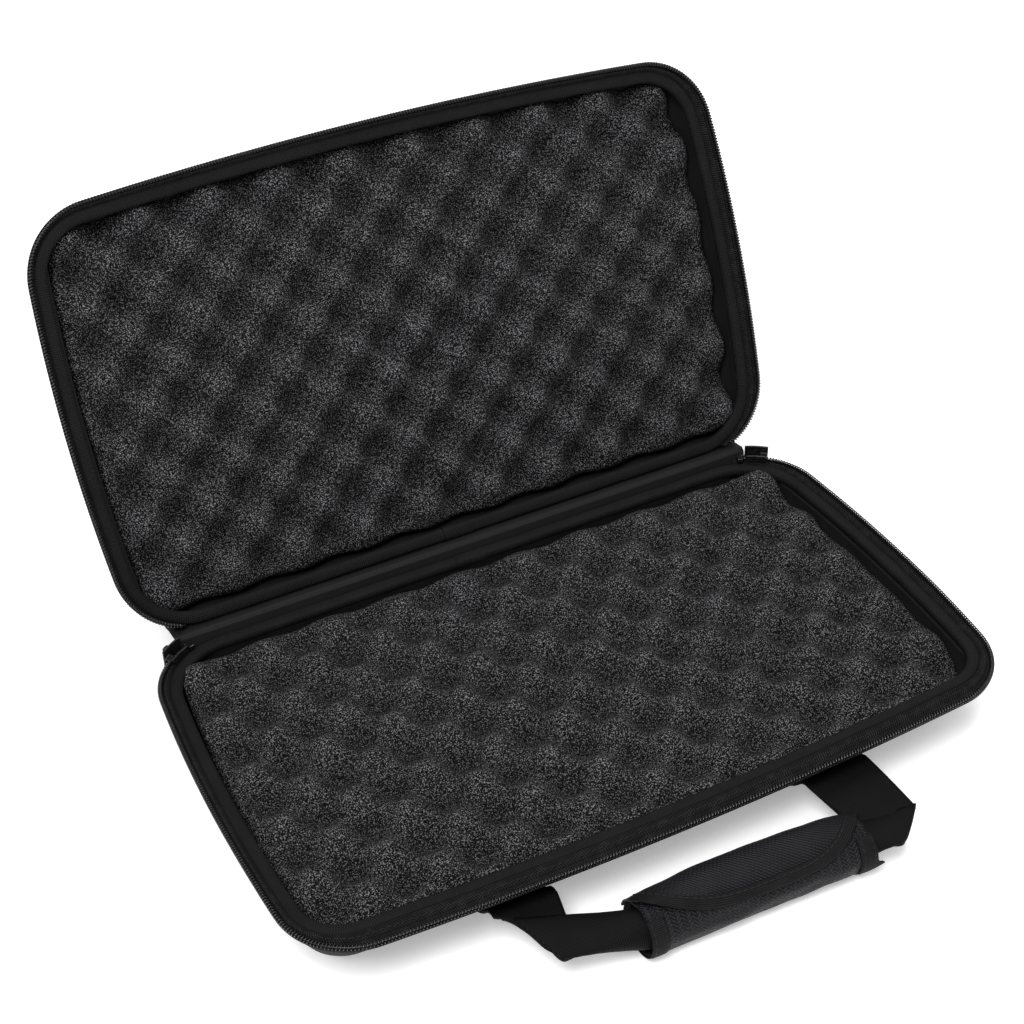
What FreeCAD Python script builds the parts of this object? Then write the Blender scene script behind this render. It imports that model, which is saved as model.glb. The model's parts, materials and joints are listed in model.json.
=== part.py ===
"""Soft-shell carry case for miniatures: two moulded halves, a zip, a cloth spine and a padded handle.

Millimetres. The origin is on the table, under the middle of the base half. +Z is up, +Y points to the
spine and -Y to the handle. Both halves are drawn shut, one the mirror of the other about the parting
plane, and the lid is then swung open to its resting angle.
"""

import FreeCAD, Part
import math
import os

V = FreeCAD.Vector

# Driving dimensions
CASE_WIDTH = 400.0  # across the zip, side to side
CASE_DEPTH = 232.0  # across the zip, front to spine
ZIP_CORNER = 40.0  # corner radius of the zip line
FRONT_BOW = 5.4  # how far the front edge bulges from straight
SIDE_BOW = 3.1
PARTING_Z = 42.0  # height of the plane where the halves meet
LID_OPEN = 116.0  # degrees the lid stands open at rest
WEB_WIDTH = 38.0  # handle webbing
WEB_THICK = 1.6
WEB_CENTRE_X = 86.0  # middle of each handle leg
GRIP_LENGTH = 114.0
GRIP_RADIUS = 13.0

# Shells
SHELL_TOP = 32.9
SHELL_WALL = 4.0
SHELL_FLOOR = 3.5
SHELL_CORNER = 20.0
FRONT_INSET = 13.0  # from the zip line in to the outer face of each wall
SIDE_INSET = 8.5
BACK_INSET = 2.0
EDGE_ROUND = 34.0  # width of the rounding between the front or a side wall and the floor
BACK_ROUND = 12.0
ROUND_TOP = 31.0  # the walls stand straight above this height
SHELL_SECTIONS = 7
GAP = 0.1  # between pieces that are sewn or glued together

# Foam block, with its peaks just below the top of the lip
FOAM_TOP = 36.5
FOAM_INSET = 8.6  # from the shell's outer form in to the foam's sides
FOAM_CORNER = 24.0

# Rim, zip and spine. The padded lip comes close to the spine at the back, where there is no zip.
LIP_FRONT_INSET = 11.0
LIP_SIDE_INSET = 6.0
LIP_BACK_INSET = 1.0
LIP_WIDTH = 6.8
LIP_CORNER = 28.0
LIP_REAR_CORNER = 38.0
LIP_HEIGHT = 5.5
TAPE_THICK = 1.2
TAPE_LIFT = TAPE_THICK + 2 * GAP  # from the lip's outer face out to the tape's outer face
TAPE_TOP_INSET = 0.9
COIL_RADIUS = 1.3
COIL_INSET = 1.5
COIL_DROP = 2.0  # from the parting plane to the middle of a coil
COIL_LOW = PARTING_Z - COIL_DROP - COIL_RADIUS
SPINE_HALF = 166.0
SPINE_AXIS_Y = CASE_DEPTH / 2 + 2.0
SPINE_THICK = 1.0
SPINE_SIDE_ROOM = 1.0  # between the spine's ends and the zip tape
FOLD_RADIUS = 0.9

# Sliders, angles measured round a rear corner from straight out to the side
SLIDER_ANGLE = 57.0
SLIDER_SPAN = 19.0  # degrees of arc that a slider covers
SLIDER_GAP = 0.8
PLATE_THICK = 1.2
OUTER_PLATE_HALF = 5.0
INNER_PLATE_HALF = 2.0
POST_HALF = 0.5
BAIL_REACH = 2.4
BAIL_RADIUS = 0.7
BAIL_HALF = 3.0
POST_SHARE = 1 / 3  # the post ends this far past the slider's middle
STOP_START = 69.0
STOP_END = 74.0
STOP_PROUD = 0.5  # the stops stand out past the zip line by this, and stay below the parting plane
STOP_ROOM = 1.0  # degrees between a coil's end and its stop
PARKED_ROOM = 2.0  # degrees between a parked slider and the lid's tape and coil
PULL_LENGTH = 26.0
PULL_WIDTH = 7.0
PULL_CORNER = 2.9
NECK_LENGTH = 7.0
KNUCKLE_WALL = 0.8
BORE_PLAY = 0.3
KNUCKLE_PLAY = 0.1

# Handle
HINGE_INSET = 10.0  # from the zip line in to where the handle bends
HINGE_Y = -CASE_DEPTH / 2 + HINGE_INSET
BINDING_THICK = 0.6
BINDING_WIDTH = 8.0
GRIP_Y = -141.0
GRIP_Z = GRIP_RADIUS + BINDING_THICK + 2 * GAP
GRIP_START_X = -48.0
COVER_THICK = 0.8
PAD_THICK = 2.3
CURL_RADIUS = 8.8  # the webbing curls lengthwise inside the grip
CURL_ANGLE = 230.0
WEB_Z = GRIP_Z + CURL_RADIUS
WEB_JOIN = 4.0  # how far the curled run reaches into each leg
WEB_TUCK = 1.0  # how far the legs reach past the hinge line, under the zip
ANCHOR_LOW = 8.0  # the webbing's ends are sewn to the front walls between these heights
ANCHOR_TOP = 20.0
ANCHOR_GAP = 0.5
RIGHT_END_Y = GRIP_Y - WEB_WIDTH / 2
RIGHT_CUT = 18.0  # the folded corner's slant
LEFT_END_Y = RIGHT_END_Y + 13.0  # the left corner is folded further in
LEFT_CUT = 27.0
SLEEVE_ANGLES = (-210.0, 135.0)  # angles round the grip, from straight forward to straight up at 90
END_TAPE_ANGLES = (-205.0, 55.0)
STRIP_ANGLES = (72.0, 112.0)
STRIP_MARGIN = 16.0  # from the grip's ends to the hook-and-loop strips
FLAP_THICK = 1.2
STRIP_THICK = 0.3
FLAP_FRONT = 45.0
FLAP_ROOT = 160.0
FLAP_OVERHANG = 0.6  # past each end of the grip
FLAP_SHOULDER = 0.35  # where the curved edge starts, as a share of the grip's radius behind its middle
FLAP_EDGE = 4.0  # width of the binding along its curved edge
FLAP_SPARE = 5.0  # degrees of skin that the D shape then trims

TALL = 3 * PARTING_Z  # longer than any cut through one half
WIDE = 2 * CASE_WIDTH


def bow_radius(half_chord, bow):
    """Radius of an arc that bulges by bow over a chord."""
    return (half_chord**2 + bow**2) / (2 * bow)


FRONT_RADIUS = bow_radius(CASE_WIDTH / 2 - ZIP_CORNER, FRONT_BOW)
SIDE_RADIUS = bow_radius(CASE_DEPTH / 2 - ZIP_CORNER, SIDE_BOW)
FRONT_CENTRE = V(0, FRONT_RADIUS - CASE_DEPTH / 2, 0)
SIDE_CENTRE = V(CASE_WIDTH / 2 - SIDE_RADIUS, 0, 0)


def meeting_point(a, reach_a, b, reach_b):
    """The point at reach_a from a and reach_b from b, on the right of the line from a to b."""
    apart = b - a
    along = (apart.Length**2 + reach_a**2 - reach_b**2) / (2 * apart.Length)
    across = math.sqrt(reach_a**2 - along**2)
    unit = V(apart).normalize()
    return a + unit * along + V(-unit.y, unit.x, 0) * across


def toward(centre, target, radius):
    """The point at radius from centre, in the direction of target."""
    return centre + (target - centre).normalize() * radius


def rear_corner(side, back, corner):
    """Centre of the right rear corner arc for the given insets."""
    y = CASE_DEPTH / 2 - back - corner
    reach = SIDE_RADIUS - side - corner
    return V(SIDE_CENTRE.x + math.sqrt(reach**2 - y**2), y, 0)


def loop(z, front, side, back, corner, rear):
    """Closed outline at height z: bowed front and sides, straight back, four tangent corner arcs."""
    front_arm = FRONT_RADIUS - front
    side_arm = SIDE_RADIUS - side
    low = meeting_point(FRONT_CENTRE, front_arm - corner, SIDE_CENTRE, side_arm - corner)
    high = rear_corner(side, back, rear)
    ends = [
        toward(FRONT_CENTRE, low, front_arm),
        toward(SIDE_CENTRE, low, side_arm),
        toward(SIDE_CENTRE, high, side_arm),
        V(high.x, CASE_DEPTH / 2 - back, 0),
    ]
    arcs = [(low, corner), (SIDE_CENTRE, side_arm), (high, rear)]
    mids = [toward(c, (p + q) * 0.5, r) for (c, r), p, q in zip(arcs, ends, ends[1:])]
    right = [(p, m, q) for p, m, q in zip(ends, mids, ends[1:])]
    left = [tuple(V(-p.x, p.y, 0) for p in reversed(arc)) for arc in reversed(right)]
    front_low = V(0, FRONT_CENTRE.y - front_arm, 0)
    turns = [(left[-1][2], front_low, right[0][0])] + right
    edges = [Part.Arc(*arc).toShape() for arc in turns]
    edges.append(Part.makeLine(right[-1][2], left[0][0]))
    edges += [Part.Arc(*arc).toShape() for arc in left]
    wire = Part.Wire(edges)
    wire.translate(V(0, 0, z))
    return wire


def zip_loop(z, inset):
    """Outline in the zip's family, whose corner arcs share one centre."""
    return loop(z, inset, inset, inset, ZIP_CORNER - inset, ZIP_CORNER - inset)


def lip_loop(z, inward):
    """The padded lip's outer outline, moved inward by this much."""
    insets = [base + inward for base in (LIP_FRONT_INSET, LIP_SIDE_INSET, LIP_BACK_INSET)]
    return loop(z, *insets, LIP_CORNER - inward, LIP_REAR_CORNER - inward)


def loft(wires):
    return Part.makeLoft(wires, True, False)


def ring(outer, inner, height):
    """Flat ring between two outlines at the same level."""
    up = V(0, 0, height)
    return Part.Face(outer).extrude(up).cut(Part.Face(inner).extrude(up))


def box(x, y, z):
    """Box from three (low, high) pairs."""
    size = [high - low for low, high in (x, y, z)]
    return Part.makeBox(*size, V(x[0], y[0], z[0]))


def sector(centre, radii, z, angles):
    """Piece of a ring round a vertical axis: radii, z and angles are (low, high) pairs."""
    sweep = angles[1] - angles[0]
    base = V(centre.x, centre.y, z[0])
    discs = [Part.makeCylinder(r, z[1] - z[0], base, V(0, 0, 1), sweep) for r in radii]
    piece = discs[1].cut(discs[0])
    piece.rotate(base, V(0, 0, 1), angles[0])
    return piece


def mirrored_x(shape):
    return shape.mirror(V(0, 0, 0), V(1, 0, 0))


def behind_corners(angle):
    """Everything behind rays that leave both rear corner centres at this angle."""
    pivot = rear_corner(0, 0, ZIP_CORNER)
    turn = math.radians(angle)
    ray = V(pivot.x + ZIP_CORNER * 2 * math.cos(turn), pivot.y + ZIP_CORNER * 2 * math.sin(turn), 0)
    far_y = CASE_DEPTH
    right = [pivot, ray, V(ray.x, far_y, 0)]
    left = [V(-p.x, p.y, 0) for p in reversed(right)]
    prism = Part.Face(Part.makePolygon(right + left + [pivot])).extrude(V(0, 0, TALL))
    return prism


# The base half


def shell_section(gap, corner, z, tuck):
    """Outline of the shell where the rounding has drawn it in by this share."""
    tucked = gap + EDGE_ROUND * tuck
    back = BACK_INSET + gap + BACK_ROUND * tuck
    return loop(z, FRONT_INSET + tucked, SIDE_INSET + tucked, back, corner, corner)


def shell_block(gap, corner, floor, top):
    """The shell's outer form moved inwards by gap, with this corner radius, from floor to top."""
    wires = []
    for step in range(SHELL_SECTIONS):
        turn = math.radians(90.0 * step / (SHELL_SECTIONS - 1))
        z = ROUND_TOP - (ROUND_TOP - floor) * math.sin(turn)
        wires.append(shell_section(gap, corner, z, 1 - math.cos(turn)))
    wall = Part.Face(wires[0]).extrude(V(0, 0, top - ROUND_TOP))
    return loft(list(reversed(wires))).fuse(wall).removeSplitter()


def base_shell():
    outer = shell_block(0, SHELL_CORNER, 0, SHELL_TOP)
    return outer.cut(shell_block(SHELL_WALL, SHELL_CORNER - SHELL_WALL, SHELL_FLOOR, SHELL_TOP))


def base_foam():
    """Block that stands in the tub, and inside the lip."""
    return shell_block(FOAM_INSET, FOAM_CORNER, SHELL_FLOOR + 2 * GAP, FOAM_TOP)


def base_rim_binding():
    z = SHELL_TOP + GAP
    return ring(lip_loop(z, 0), lip_loop(z, LIP_WIDTH), LIP_HEIGHT)


def tape_band():
    """The whole sloping band between the lip and the coil, before it is cut to length."""
    low = SHELL_TOP + GAP
    high = COIL_LOW - GAP
    outer = loft([lip_loop(low, -TAPE_LIFT), zip_loop(high, TAPE_TOP_INSET)])
    inner = loft([lip_loop(low, TAPE_THICK - TAPE_LIFT), zip_loop(high, TAPE_TOP_INSET + TAPE_THICK)])
    return outer.cut(inner)


def coil_until(angle):
    """Round bead that holds the coil's place, from one rear corner by the front to the other."""
    z = PARTING_Z - COIL_DROP
    path = zip_loop(z, COIL_INSET)
    start = path.Edges[0].firstVertex().Point
    along = path.Edges[0].tangentAt(path.Edges[0].FirstParameter)
    profile = Part.Wire(Part.makeCircle(COIL_RADIUS, start, along))
    return path.makePipeShell([profile], True, False).cut(behind_corners(angle))


def base_zip_tape():
    room_x = SPINE_HALF + SPINE_SIDE_ROOM
    return tape_band().cut(box((-room_x, room_x), (0, WIDE), (0, TALL)))


def base_zip_coil():
    return coil_until(STOP_START - STOP_ROOM)


def zip_end_stops():
    """A moulded block on each end of the coil, so that the sliders stay on."""
    pivot = rear_corner(0, 0, ZIP_CORNER)
    radii = (ZIP_CORNER - COIL_INSET - 2 * COIL_RADIUS, ZIP_CORNER + STOP_PROUD)
    z = (COIL_LOW, PARTING_Z - STOP_PROUD)
    right = sector(pivot, radii, z, (STOP_START, STOP_END))
    return Part.makeCompound([right, mirrored_x(right)])


def spine_leaf():
    """Half of the cloth spine, standing behind the lip up to the fold line."""
    near_y = CASE_DEPTH / 2 - LIP_BACK_INSET + 2 * GAP
    top = PARTING_Z - FOLD_RADIUS - GAP
    return box((-SPINE_HALF, SPINE_HALF), (near_y, near_y + SPINE_THICK), (SHELL_TOP + GAP, top))


def spine_fold():
    """The rolled fold that the two leaves meet at."""
    start = V(-SPINE_HALF, SPINE_AXIS_Y, PARTING_Z)
    return Part.makeCylinder(FOLD_RADIUS, 2 * SPINE_HALF, start, V(1, 0, 0))


def wall_profile(offset, z):
    """Point of the front wall's rounding at height z, moved out by offset, over the leg's middle."""
    arm = FRONT_RADIUS - FRONT_INSET
    wall_y = FRONT_CENTRE.y - math.sqrt(arm**2 - WEB_CENTRE_X**2)
    turn = math.asin(1 - z / ROUND_TOP)
    return V(0, wall_y - offset + EDGE_ROUND * (1 - math.cos(turn)), z)


def handle_anchor():
    """Webbing end sewn flat to the front wall, right side."""
    heights = (ANCHOR_LOW, (ANCHOR_LOW + ANCHOR_TOP) / 2, ANCHOR_TOP)
    offsets = (ANCHOR_GAP, ANCHOR_GAP + WEB_THICK)
    faces = [[wall_profile(offset, z) for z in heights] for offset in offsets]
    arcs = [Part.Arc(*points).toShape() for points in faces]
    ends = [Part.makeLine(inner, outer) for inner, outer in zip(faces[0][::2], faces[1][::2])]
    patch = Part.Face(Part.Wire(Part.__sortEdges__(arcs + ends))).extrude(V(WEB_WIDTH, 0, 0))
    patch.translate(V(WEB_CENTRE_X - WEB_WIDTH / 2, 0, 0))
    slope = math.degrees(math.asin(WEB_CENTRE_X / (FRONT_RADIUS - FRONT_INSET)))
    patch.rotate(V(WEB_CENTRE_X, faces[0][1].y, 0), V(0, 0, 1), slope)
    return patch


# The lid half


def lid(shape):
    """Mirrors a base piece about the parting plane and swings it open about the spine."""
    piece = shape.mirror(V(0, 0, PARTING_Z), V(0, 0, 1))
    piece.rotate(V(0, SPINE_AXIS_Y, PARTING_Z), V(-1, 0, 0), LID_OPEN)
    return piece


def lid_zip_end():
    """Angle round a rear corner where the lid's tape and coil stop, short of the parked slider."""
    return SLIDER_ANGLE - SLIDER_SPAN / 2 - PARKED_ROOM


def lid_zip_tape():
    return tape_band().cut(behind_corners(lid_zip_end()))


def lid_zip_coil():
    return coil_until(lid_zip_end())


# Sliders and pullers, drawn straight out to the side and then turned to their parking angle


def slider_flat():
    """Slider with its outer plate, inner plate, post between the coils and bail for the puller."""
    pivot = rear_corner(0, 0, ZIP_CORNER)
    half = SLIDER_SPAN / 2
    outer_r = ZIP_CORNER + SLIDER_GAP
    inner_r = ZIP_CORNER - COIL_INSET - COIL_RADIUS - SLIDER_GAP
    middle = PARTING_Z
    outer = sector(
        pivot,
        (outer_r, outer_r + PLATE_THICK),
        (middle - OUTER_PLATE_HALF, middle + OUTER_PLATE_HALF),
        (-half, half),
    )
    inner = sector(
        pivot,
        (inner_r - PLATE_THICK, inner_r),
        (middle - INNER_PLATE_HALF, middle + INNER_PLATE_HALF),
        (-half, half),
    )
    post = sector(
        pivot,
        (inner_r - PLATE_THICK / 2, outer_r + PLATE_THICK / 2),
        (middle - POST_HALF, middle + POST_HALF),
        (-half, -half * POST_SHARE),
    )
    bar_x = pivot.x + bail_radius()
    bar = Part.makeCylinder(
        BAIL_RADIUS, 2 * BAIL_HALF, V(bar_x, pivot.y - BAIL_HALF, middle), V(0, 1, 0)
    )
    body = outer.fuse([inner, post, bar])
    for side in (-1, 1):
        y = pivot.y + side * (BAIL_HALF - BAIL_RADIUS)
        leg = box(
            (pivot.x + outer_r + PLATE_THICK / 2, bar_x + BAIL_RADIUS),
            (y - BAIL_RADIUS, y + BAIL_RADIUS),
            (middle - BAIL_RADIUS, middle + BAIL_RADIUS),
        )
        body = body.fuse(leg)
    return body.removeSplitter()


def bail_radius():
    """Distance of the bail's bar from the rear corner's centre."""
    return ZIP_CORNER + SLIDER_GAP + PLATE_THICK + BAIL_REACH


def puller_flat():
    """Pull tab hanging from a knuckle round the bail's bar."""
    pivot = rear_corner(0, 0, ZIP_CORNER)
    bar = V(pivot.x + bail_radius(), pivot.y, PARTING_Z)
    knuckle_half = BAIL_HALF - 2 * BAIL_RADIUS - KNUCKLE_PLAY
    bore = BAIL_RADIUS + BORE_PLAY
    start = bar - V(0, knuckle_half, 0)
    knuckle = Part.makeCylinder(bore + KNUCKLE_WALL, 2 * knuckle_half, start, V(0, 1, 0))
    neck = box(
        (bar.x - PLATE_THICK / 2, bar.x + PLATE_THICK / 2),
        (bar.y - knuckle_half, bar.y + knuckle_half),
        (bar.z - NECK_LENGTH, bar.z),
    )
    tab = box(
        (bar.x - PLATE_THICK / 2, bar.x + PLATE_THICK / 2),
        (bar.y - PULL_WIDTH / 2, bar.y + PULL_WIDTH / 2),
        (bar.z - PULL_LENGTH, bar.z - NECK_LENGTH + 2 * BORE_PLAY),
    )
    upright = [e for e in tab.Edges if abs(e.tangentAt(0).x) > 0.9]
    tab = tab.makeFillet(PULL_CORNER, upright)
    hole = Part.makeCylinder(bore, 4 * knuckle_half, bar - V(0, 2 * knuckle_half, 0), V(0, 1, 0))
    return knuckle.fuse([neck, tab]).cut(hole).removeSplitter()


def parked(shape):
    pivot = rear_corner(0, 0, ZIP_CORNER)
    turned = shape.copy()
    turned.rotate(pivot, V(0, 0, 1), SLIDER_ANGLE)
    return turned


# The handle


def round_grip(angle, radius):
    """The point at this angle and radius round the grip's middle."""
    turn = math.radians(angle)
    return V(0, GRIP_Y - radius * math.cos(turn), GRIP_Z + radius * math.sin(turn))


def grip_arc(radii, angles, start_x, length):
    """Curved plate round the grip's axis: radii and angles are (low, high) pairs."""
    inner, outer = radii
    low, high = angles
    middle = (low + high) / 2
    arcs = [
        Part.Arc(*(round_grip(a, r) for a in (low, middle, high))).toShape() for r in (inner, outer)
    ]
    ends = [Part.makeLine(round_grip(a, inner), round_grip(a, outer)) for a in (low, high)]
    wire = Part.Wire(Part.__sortEdges__(arcs + ends))
    plate = Part.Face(wire).extrude(V(length, 0, 0))
    plate.translate(V(start_x, 0, 0))
    return plate


def handle_leg(end_y, cut):
    """A leg on the right, flat, with the folded corner at its end."""
    inner_x = WEB_CENTRE_X - WEB_WIDTH / 2
    outer_x = WEB_CENTRE_X + WEB_WIDTH / 2
    root_y = HINGE_Y - WEB_TUCK
    points = [
        V(inner_x, root_y, 0),
        V(inner_x, end_y, 0),
        V(outer_x - cut, end_y, 0),
        V(outer_x, end_y + cut, 0),
        V(outer_x, root_y, 0),
    ]
    leg = Part.Face(Part.makePolygon(points + [points[0]])).extrude(V(0, 0, WEB_THICK))
    leg.translate(V(0, 0, WEB_Z - WEB_THICK / 2))
    return leg


def handle_strap():
    """One length of webbing: two flat legs with folded corners and a run that curls into the grip."""
    half_run = WEB_CENTRE_X - WEB_WIDTH / 2 + WEB_JOIN
    radii = (CURL_RADIUS - WEB_THICK / 2, CURL_RADIUS + WEB_THICK / 2)
    angles = (90 - CURL_ANGLE / 2, 90 + CURL_ANGLE / 2)
    run = grip_arc(radii, angles, -half_run, 2 * half_run)
    return run.fuse([handle_leg(RIGHT_END_Y, RIGHT_CUT), mirrored_x(handle_leg(LEFT_END_Y, LEFT_CUT))])


def grip_pad():
    outer = GRIP_RADIUS - COVER_THICK - GAP
    radii = (outer - PAD_THICK, outer)
    return grip_arc(radii, SLEEVE_ANGLES, GRIP_START_X + COVER_THICK, GRIP_LENGTH - 2 * COVER_THICK)


def grip_cover():
    radii = (GRIP_RADIUS - COVER_THICK, GRIP_RADIUS)
    return grip_arc(radii, SLEEVE_ANGLES, GRIP_START_X, GRIP_LENGTH)


def grip_binding(start_x):
    radii = (GRIP_RADIUS + GAP, GRIP_RADIUS + GAP + BINDING_THICK)
    return grip_arc(radii, END_TAPE_ANGLES, start_x, BINDING_WIDTH)


def strip_radii(layer):
    """Radii of the two hook-and-loop layers, which lie on the cover."""
    inner = GRIP_RADIUS + GAP + layer * (STRIP_THICK + GAP)
    return (inner, inner + STRIP_THICK)


def hook_and_loop(layer):
    start_x = GRIP_START_X + STRIP_MARGIN
    return grip_arc(strip_radii(layer), STRIP_ANGLES, start_x, GRIP_LENGTH - 2 * STRIP_MARGIN)


def flap_plan(inset):
    """D-shaped prism, seen from above, whose curved side faces forward."""
    left = GRIP_START_X - FLAP_OVERHANG + inset
    right = GRIP_START_X + GRIP_LENGTH + FLAP_OVERHANG - inset
    shoulder_y = GRIP_Y + GRIP_RADIUS * FLAP_SHOULDER + inset
    front_y = round_grip(FLAP_FRONT, GRIP_RADIUS).y + inset
    back_y = GRIP_Y + 2 * GRIP_RADIUS
    middle = V((left + right) / 2, front_y, 0)
    curve = Part.Arc(V(left, shoulder_y, 0), middle, V(right, shoulder_y, 0)).toShape()
    rest = Part.makePolygon(
        [V(right, shoulder_y, 0), V(right, back_y, 0), V(left, back_y, 0), V(left, shoulder_y, 0)]
    )
    return Part.Face(Part.Wire([curve] + rest.Edges)).extrude(V(0, 0, TALL))


def flap_skin(inner, thick):
    """Curved plate over the grip, before it is cut to its D shape."""
    start = GRIP_START_X - FLAP_OVERHANG
    length = GRIP_LENGTH + 2 * FLAP_OVERHANG
    return grip_arc((inner, inner + thick), (FLAP_FRONT - FLAP_SPARE, FLAP_ROOT), start, length)


def flap_radius():
    return strip_radii(1)[1] + GAP


def grip_flap():
    return flap_skin(flap_radius(), FLAP_THICK).common(flap_plan(0))


def grip_flap_binding():
    skin = flap_skin(flap_radius() + FLAP_THICK + GAP, BINDING_THICK)
    return skin.common(flap_plan(0)).cut(flap_plan(FLAP_EDGE))


def pieces():
    """Every piece by name."""
    anchor = handle_anchor()
    slider = parked(slider_flat())
    puller = parked(puller_flat())
    leaf = spine_leaf()
    return {
        "base_shell": base_shell(),
        "base_rim_binding": base_rim_binding(),
        "base_zip_tape": base_zip_tape(),
        "base_zip_coil": base_zip_coil(),
        "base_foam": base_foam(),
        "zip_end_stops": zip_end_stops(),
        "spine_base_leaf": leaf,
        "spine_fold": spine_fold(),
        "handle_anchor_right": anchor,
        "handle_anchor_left": mirrored_x(anchor),
        "lid_shell": lid(base_shell()),
        "lid_rim_binding": lid(base_rim_binding()),
        "lid_zip_tape": lid(lid_zip_tape()),
        "lid_zip_coil": lid(lid_zip_coil()),
        "lid_foam": lid(base_foam()),
        "spine_lid_leaf": lid(leaf),
        "slider_right": slider,
        "slider_left": mirrored_x(slider),
        "puller_right": puller,
        "puller_left": mirrored_x(puller),
        "handle_strap": handle_strap(),
        "grip_pad": grip_pad(),
        "grip_cover": grip_cover(),
        "grip_binding_left": grip_binding(GRIP_START_X),
        "grip_binding_right": grip_binding(GRIP_START_X + GRIP_LENGTH - BINDING_WIDTH),
        "grip_loop_strip": hook_and_loop(0),
        "grip_hook_strip": hook_and_loop(1),
        "grip_flap": grip_flap(),
        "grip_flap_binding": grip_flap_binding(),
    }


os.makedirs("parts", exist_ok=True)
for name, shape in pieces().items():
    shape.exportStep(f"parts/{name}.step")
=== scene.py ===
"""Looks of a soft-shell carry case for miniatures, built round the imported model.

Metres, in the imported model's frame: origin on the table under the base half, +Y to the spine, +Z up.
Both halves are built as the base half, face up. The lid is the base's mirror image about the plane
where the halves meet, swung open about the spine.
"""

import json
import math

import bmesh
import bpy
import numpy as np
from mathutils import Matrix, Quaternion, Vector, kdtree, noise


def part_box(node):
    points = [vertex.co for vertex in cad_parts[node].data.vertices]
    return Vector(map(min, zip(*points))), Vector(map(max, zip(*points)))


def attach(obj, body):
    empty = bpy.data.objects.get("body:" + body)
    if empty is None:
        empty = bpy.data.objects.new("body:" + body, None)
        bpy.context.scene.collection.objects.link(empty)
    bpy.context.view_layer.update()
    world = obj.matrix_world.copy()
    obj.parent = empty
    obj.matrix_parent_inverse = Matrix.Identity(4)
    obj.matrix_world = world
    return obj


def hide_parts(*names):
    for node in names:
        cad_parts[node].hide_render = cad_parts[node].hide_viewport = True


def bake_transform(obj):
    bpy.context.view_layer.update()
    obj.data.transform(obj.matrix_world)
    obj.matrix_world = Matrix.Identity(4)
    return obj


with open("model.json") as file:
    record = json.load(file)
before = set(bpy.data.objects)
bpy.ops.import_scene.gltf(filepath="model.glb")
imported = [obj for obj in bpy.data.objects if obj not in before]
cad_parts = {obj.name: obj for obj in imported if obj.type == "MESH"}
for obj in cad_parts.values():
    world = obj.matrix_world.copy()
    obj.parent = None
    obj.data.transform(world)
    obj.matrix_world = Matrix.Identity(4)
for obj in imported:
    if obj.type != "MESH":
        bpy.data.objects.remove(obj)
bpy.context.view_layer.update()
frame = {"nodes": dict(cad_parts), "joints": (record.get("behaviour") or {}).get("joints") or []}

MM = 0.001
TAU = 2 * math.pi

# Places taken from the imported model
lip_low, lip_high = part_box("base_rim_binding")
shell_low, shell_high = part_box("base_shell")
foam_low, foam_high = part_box("base_foam")
tape_low, tape_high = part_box("base_zip_tape")
fold_low, fold_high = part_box("spine_fold")
HINGE = (fold_low + fold_high) / 2
PARTING_Z = HINGE.z
LID_OPEN = -math.radians(next(j for j in frame["joints"] if j["name"] == "lid_hinge")["range_deg"][0])

# The zip line, and the insets of everything from it, for front, sides and back
# The lid's padding sits closer to the zip, and a little to the left, as its soft tape has rolled outwards
LIP_INSETS = {"base": (11.0 * MM, 6.0 * MM, 1.0 * MM), "lid": (4.6 * MM, 5.4 * MM, 1.0 * MM)}
LIP_CORNERS = {"base": (28.0 * MM, 38.0 * MM), "lid": (34.0 * MM, 38.0 * MM)}
LIP_SHIFT = {"base": 0.0, "lid": -1.6 * MM}
LIP_WIDTH = 6.8 * MM
ZIP_CORNER = 40.0 * MM
HALF_WIDTH = lip_high.x + LIP_INSETS["base"][1]
HALF_DEPTH = LIP_INSETS["base"][0] - lip_low.y
FRONT_BOW = 5.4 * MM
SIDE_BOW = 3.1 * MM
ZIP_END = math.radians(73.0)  # where the zip stops, measured round a rear corner from straight sideways

STRETCH_STEPS = (40, 24, 36, 20, 60)  # back half, rear corner, side, front corner, front half


# Outlines


def unit(vectors):
    """The same directions, at length one."""
    return vectors / np.linalg.norm(vectors, axis=-1, keepdims=True)


def bow_radius(half_chord, bow):
    return (half_chord**2 + bow**2) / (2 * bow)


FRONT_RADIUS = bow_radius(HALF_WIDTH - ZIP_CORNER, FRONT_BOW)
SIDE_RADIUS = bow_radius(HALF_DEPTH - ZIP_CORNER, SIDE_BOW)
FRONT_CENTRE = np.array([0.0, FRONT_RADIUS - HALF_DEPTH])
SIDE_CENTRE = np.array([HALF_WIDTH - SIDE_RADIUS, 0.0])


def meeting_point(a, reach_a, b, reach_b):
    """The point at reach_a from a and reach_b from b, on the left of the line from a to b."""
    apart = np.linalg.norm(b - a)
    along = (apart**2 + reach_a**2 - reach_b**2) / (2 * apart)
    across = math.sqrt(reach_a**2 - along**2)
    ahead = (b - a) / apart
    return a + ahead * along + np.array([-ahead[1], ahead[0]]) * across


def toward(centre, target, radius):
    """The point at this radius from the centre, in the target's direction."""
    return centre + unit(target - centre) * radius


def arc_points(centre, radius, start, end, steps):
    """Points on an arc from start towards end, leaving the end out."""
    low, high = (math.atan2(*(point - centre)[::-1]) for point in (start, end))
    turn = np.linspace(low, high, steps, endpoint=False)
    return centre + radius * np.c_[np.cos(turn), np.sin(turn)]


def rear_centre(side, back, rear):
    """Centre of the right rear corner's arc, for these insets and this radius."""
    y = HALF_DEPTH - back - rear
    reach = SIDE_RADIUS - side - rear
    return np.array([SIDE_CENTRE[0] + math.sqrt(reach**2 - y**2), y])


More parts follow.
